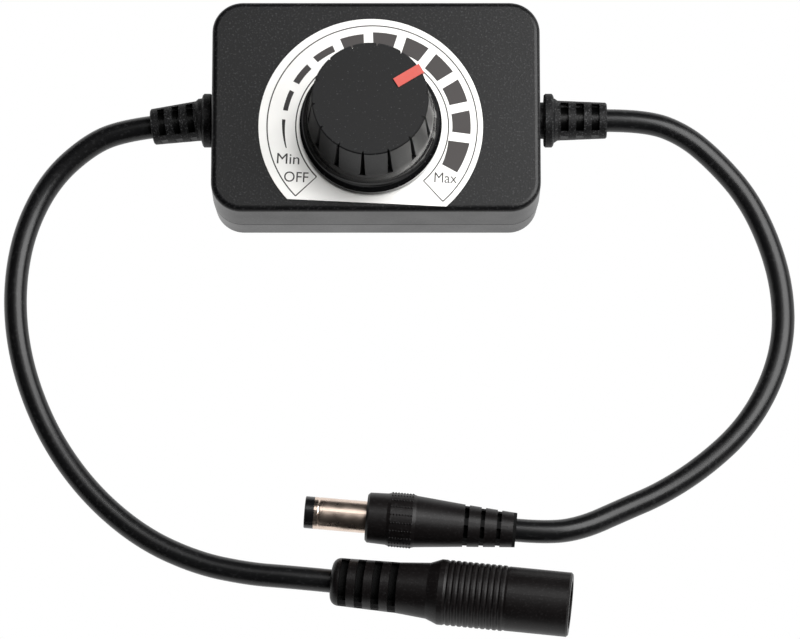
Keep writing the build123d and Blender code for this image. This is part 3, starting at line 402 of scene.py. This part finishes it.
# Its words: the two ends of the scale and the off position, in a plain sans-serif letter and the same
# ink. Each is stretched to the width and height that it has on the sheet, in mm.
for word, left, base, width, height in (("Min", -15.8, -7.45, 3.85, 1.85),
                                        ("OFF", -14.4, -10.6, 4.15, 1.8),
                                        ("Max", 11.4, -9.5, 3.9, 1.8)):
    letters = bpy.data.curves.new("word", "FONT")
    letters.body = word
    sample = bpy.data.objects.new("word", letters)
    bpy.context.scene.collection.objects.link(sample)
    depsgraph = bpy.context.evaluated_depsgraph_get()
    word_mesh = bpy.data.meshes.new_from_object(sample.evaluated_get(depsgraph))
    bpy.data.objects.remove(sample)
    corners = [v.co for v in word_mesh.vertices]
    low_x = min(c.x for c in corners)
    wide = max(c.x for c in corners) - low_x
    high = max(c.y for c in corners)
    stretch = Matrix.Diagonal((width / wide / 1000, height / high / 1000, 1, 1))
    word_mesh.transform(dial_turn @ Matrix.Translation((left / 1000, base / 1000, 0)) @ stretch
                        @ Matrix.Translation((-low_x, 0, 0)))
    word_mesh.materials.clear()
    word_mesh.materials.append(ink)
    text = bpy.data.objects.new("dial_word_" + word.lower(), word_mesh)
    bpy.context.scene.collection.objects.link(text)
    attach(text, "dimmer")


# Knob: one hollow moulding in black ABS, whose mould is blasted on top, plain down the grip panels and
# polished on the flare and skirt: a grainy matt top, smooth dull panels and a flare that shines black.
# The node is copied, its flare is hollowed deeper, nearer to the real one's, and its edges are broken.
knob_low, knob_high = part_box("knob")
knob_x, knob_y = (knob_low.x + knob_high.x) / 2, (knob_low.y + knob_high.y) / 2
skirt_radius, skirt_height = (knob_high.x - knob_low.x) / 2, 0.0009
flare_height, flare_top_radius, flare_bulge = 0.005, 0.0107, 0.009
hollow_radius, hollow_start, hollow_end = 0.0026, radians(85), radians(31)
kept_radius = 0.0087
rim_top = knob_low.z + skirt_height
chord = Vector((skirt_radius - flare_top_radius, flare_height))
hollow_height = hollow_radius * (cos(hollow_end) - cos(hollow_start))
hollow_top_radius = skirt_radius - hollow_radius * (sin(hollow_start) - sin(hollow_end))


def flare_profile(rise):
    """Radius of the node's own flare at a height above the rim."""
    middle = chord / 2
    reach = (flare_bulge ** 2 - chord.length_squared / 4) ** 0.5
    out = Vector((chord.y, chord.x)).normalized() * reach
    centre = Vector((skirt_radius - middle.x, middle.y)) + out
    return centre.x - (flare_bulge ** 2 - (rise - centre.y) ** 2) ** 0.5


def hollow_profile(rise):
    """Radius that the flare is hollowed to: a short cove from the rim, then a straight taper."""
    if rise < hollow_height:
        down = hollow_radius * cos(hollow_end) - rise
        across = (hollow_radius ** 2 - down ** 2) ** 0.5
        return skirt_radius - (across - hollow_radius * sin(hollow_end))
    share = (rise - hollow_height) / (flare_height - hollow_height)
    return hollow_top_radius + (flare_top_radius - hollow_top_radius) * share


built = bmesh.new()
built.from_mesh(nodes["knob"].data)
merge_distance = 0.000001
bmesh.ops.remove_doubles(built, verts=built.verts, dist=merge_distance)
# Only the flare's outer side is moved: what is nearer to the axis than kept_radius stays as it is.
for vert in built.verts:
    rise = vert.co.z - rim_top
    out = Vector((vert.co.x - knob_x, vert.co.y - knob_y))
    if 0 < rise < flare_height and out.length > kept_radius:
        moved = out * (hollow_profile(rise) - flare_profile(rise) + out.length) / out.length
        vert.co.x, vert.co.y = knob_x + moved.x, knob_y + moved.y
knob_mesh = bpy.data.meshes.new("dimmer_knob")
built.to_mesh(knob_mesh)
built.free()
# The normals that came with the node don't fit the hollowed flare, so they are dropped. All faces are
# shaded smooth between sharp edges, apart from the level ones.
sharp_angle, level = radians(38), 0.99
knob_mesh.attributes.remove(knob_mesh.attributes["custom_normal"])
knob_mesh.set_sharp_from_angle(angle=sharp_angle)
for face in knob_mesh.polygons:
    face.use_smooth = abs(face.normal.z) < level
made, tree, shader, place = new_material("black ABS, blasted top and polished flare")
polish_end, grip_start = rim_top + 0.003, rim_top + 0.006
blast_start, blast_full = knob_high.z - 0.00025, knob_high.z - 0.00005
flare_rough, grip_rough, knob_index = 0.14, 0.5, 1.36
blast_size, blast_depth, blast_left_on_sides = 0.3, 0.00001, 0.08
# Fine pale flecks of dust lie all over it.
dust_size, dust_foot, dust_top, dust_cover = 0.32, 0.68, 0.8, 0.25
height = add(tree, "SeparateXYZ", {"Vector": place}).outputs["Z"]
top_share = add(tree, "MapRange", {"Value": height, "From Min": blast_start, "From Max": blast_full})
grip_share = add(tree, "MapRange", {"Value": height, "From Min": polish_end, "From Max": grip_start})
rough = add(tree, "Mix", {"Factor": grip_share.outputs["Result"], "A": flare_rough, "B": grip_rough},
            data_type="FLOAT")
skin = add(tree, "TexNoise", {"Vector": place, "Scale": 1000 / blast_size, "Detail": 3.0}).outputs["Fac"]
skin_depth = add(tree, "Mix", {"Factor": top_share.outputs["Result"], "A": blast_left_on_sides, "B": 1.0},
                 data_type="FLOAT")
relief = add(tree, "Bump", {"Height": skin, "Strength": skin_depth.outputs["Result"],
                            "Distance": blast_depth})
dust = add(tree, "TexNoise", {"Vector": place, "Scale": 1000 / dust_size, "Detail": 1.0}).outputs["Fac"]
dusty = add(tree, "MapRange", {"Value": dust, "From Min": dust_foot, "From Max": dust_top,
                               "To Max": dust_cover})
tint = add(tree, "Mix", {"Factor": dusty.outputs["Result"], "A": colour("#0f0f10"),
                         "B": colour("#77777a")}, data_type="RGBA")
tree.links.new(tint.outputs["Result"], shader.inputs["Base Color"])
tree.links.new(rough.outputs["Result"], shader.inputs["Roughness"])
tree.links.new(relief.outputs["Normal"], shader.inputs["Normal"])
shader.inputs["IOR"].default_value = knob_index
knob_mesh.materials.append(made)
knob = bpy.data.objects.new("dimmer_knob", knob_mesh)
bpy.context.scene.collection.objects.link(knob)
broken = knob.modifiers.new("broken edges", "BEVEL")
broken.width = 0.00012
broken.segments = 2
broken.limit_method = "ANGLE"
broken.angle_limit = sharp_angle
broken.use_clamp_overlap = True
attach(knob, "dial")
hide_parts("knob")

# Pointer: a red moulded insert, hooked over the knob's top edge and down one groove. Its skin is
# satin, and the colour goes through it.
wear(moulded("red moulded ABS insert", "#cd5348", 0.4, 0.3, 0.004, specks=0.15), "knob_pointer")

# Strain reliefs: soft black PVC moulded on each lead and held in the box's wall, with flexing slots.
# The mould is left coarse, so the skin is matt, with pale sparkles painted on the grain's tips as
# painted highlights. The core that shows in the slots is drawn smooth, like the lead's sheath, with a thin
# glint along its top; its black, darker than the rings, is painted shade of the deep slots.
relief_axes = {"input": ((-30.55, 0.0, 7.2), (-39.06, -0.89, 6.3)),
               "output": ((31.15, 0.0, 7.2), (40.2, 0.0, 7.2))}
core_radius = 0.0025
for side, (root, end) in relief_axes.items():
    made = moulded("coarse matt soft PVC " + side, "#09090a", 0.55, 0.28, 0.035,
                   specks=0.3, index=1.36)
    tree = made.node_tree
    place = tree.nodes["Texture Coordinate"].outputs["Object"]
    root, end = Vector(root) / 1000, Vector(end) / 1000
    way = (end - root).normalized()
    from_root = add(tree, "VectorMath", {0: place, 1: root}, operation="SUBTRACT").outputs["Vector"]
    turned = add(tree, "VectorMath", {0: from_root, 1: way}, operation="CROSS_PRODUCT").outputs["Vector"]
    from_axis = add(tree, "VectorMath", {0: turned}, operation="LENGTH").outputs["Value"]
    on_core = add(tree, "Math", {0: from_axis, 1: core_radius}, operation="LESS_THAN").outputs["Value"]
    # The core is painted darker: painted shade, where the deep slots keep light out.
    change_where(made, on_core, "#060606", 0.3)
    wear(made, side + "_relief")

# Contacts: the plug's barrel and spring and the socket's pin and leaf, in brass drawn, turned or stamped
# and then nickel-plated. They are bright, with a warm cast.
wear(metal("nickel-plated brass contact", "#eed9c9", 0.28, 0.35, 0.006),
     "plug_barrel", "plug_contact", "jack_pin", "jack_spring")

# Insulators: hard black nylon, moulded in the plug's barrel and tip and in the socket's mouth, where
# they keep the contacts apart. Their skin is smooth and glossy.
wear(moulded("hard glossy black nylon", "#0e0e0f", 0.25, 0.4, 0.003), "plug_insulator", "jack_liner")

# Circuit board: glass-epoxy laminate under green solder mask, held on the bottom cover's posts. It is
# glossy, with the weave just showing.
wear(moulded("green solder mask on glass-epoxy", "#1f6b3a", 0.3, 0.5, 0.006), "circuit_board")

# Potentiometer: phenolic wafer, black thermoset shell and rotor, tinned steel frame, and a turned
# brass bushing and nut that clamp it. The wafer is dull brown, and the metals keep their tool marks.
wear(moulded("phenolic paper wafer", "#6b4526", 0.55, 0.3, 0.01), "pot_wafer")
wear(moulded("black thermoset shell", "#1e1e1f", 0.5, 0.2, 0.01), "pot_shell", "pot_rotor")
wear(metal("tinned folded steel", "#c9c9c8", 0.32, 0.2, 0.004),
     "pot_frame", "pot_terminals", "pot_washer")
wear(metal("turned nickel-flashed brass", "#cdbf9a", 0.25, 0.12, 0.004),
     "pot_bushing", "pot_nut", "pot_wiper")
wear(metal("turned aluminium shaft", "#cfd0d2", 0.3, 0.1, 0.004), "pot_shaft")

# Inner wires: extruded insulation, red for the positive pole and black for the negative, soldered to
# the board. The insulation is smooth and slightly glossy.
wear(moulded("red extruded insulation", "#c22a20", 0.35, 0.3, 0.003),
     "input_wire_positive", "output_wire_positive")
wear(moulded("black extruded insulation", "#1a1a1b", 0.35, 0.3, 0.003),
     "input_wire_negative", "output_wire_negative")

# Board components: transistor, chip and diodes in moulded epoxy, a capacitor in a shrunk sleeve and
# ceramic resistors, all soldered on. The epoxy is matt and the sleeve glossy.
wear(moulded("transfer-moulded epoxy", "#28282a", 0.5, 0.12, 0.006),
     "power_transistor", "control_chip", "diodes")
wear(moulded("shrunk capacitor sleeve", "#23304f", 0.3, 0.5, 0.004), "smoothing_capacitor")
wear(moulded("thick-film ceramic chip", "#3a3836", 0.4, 0.15, 0.004), "chip_resistors")
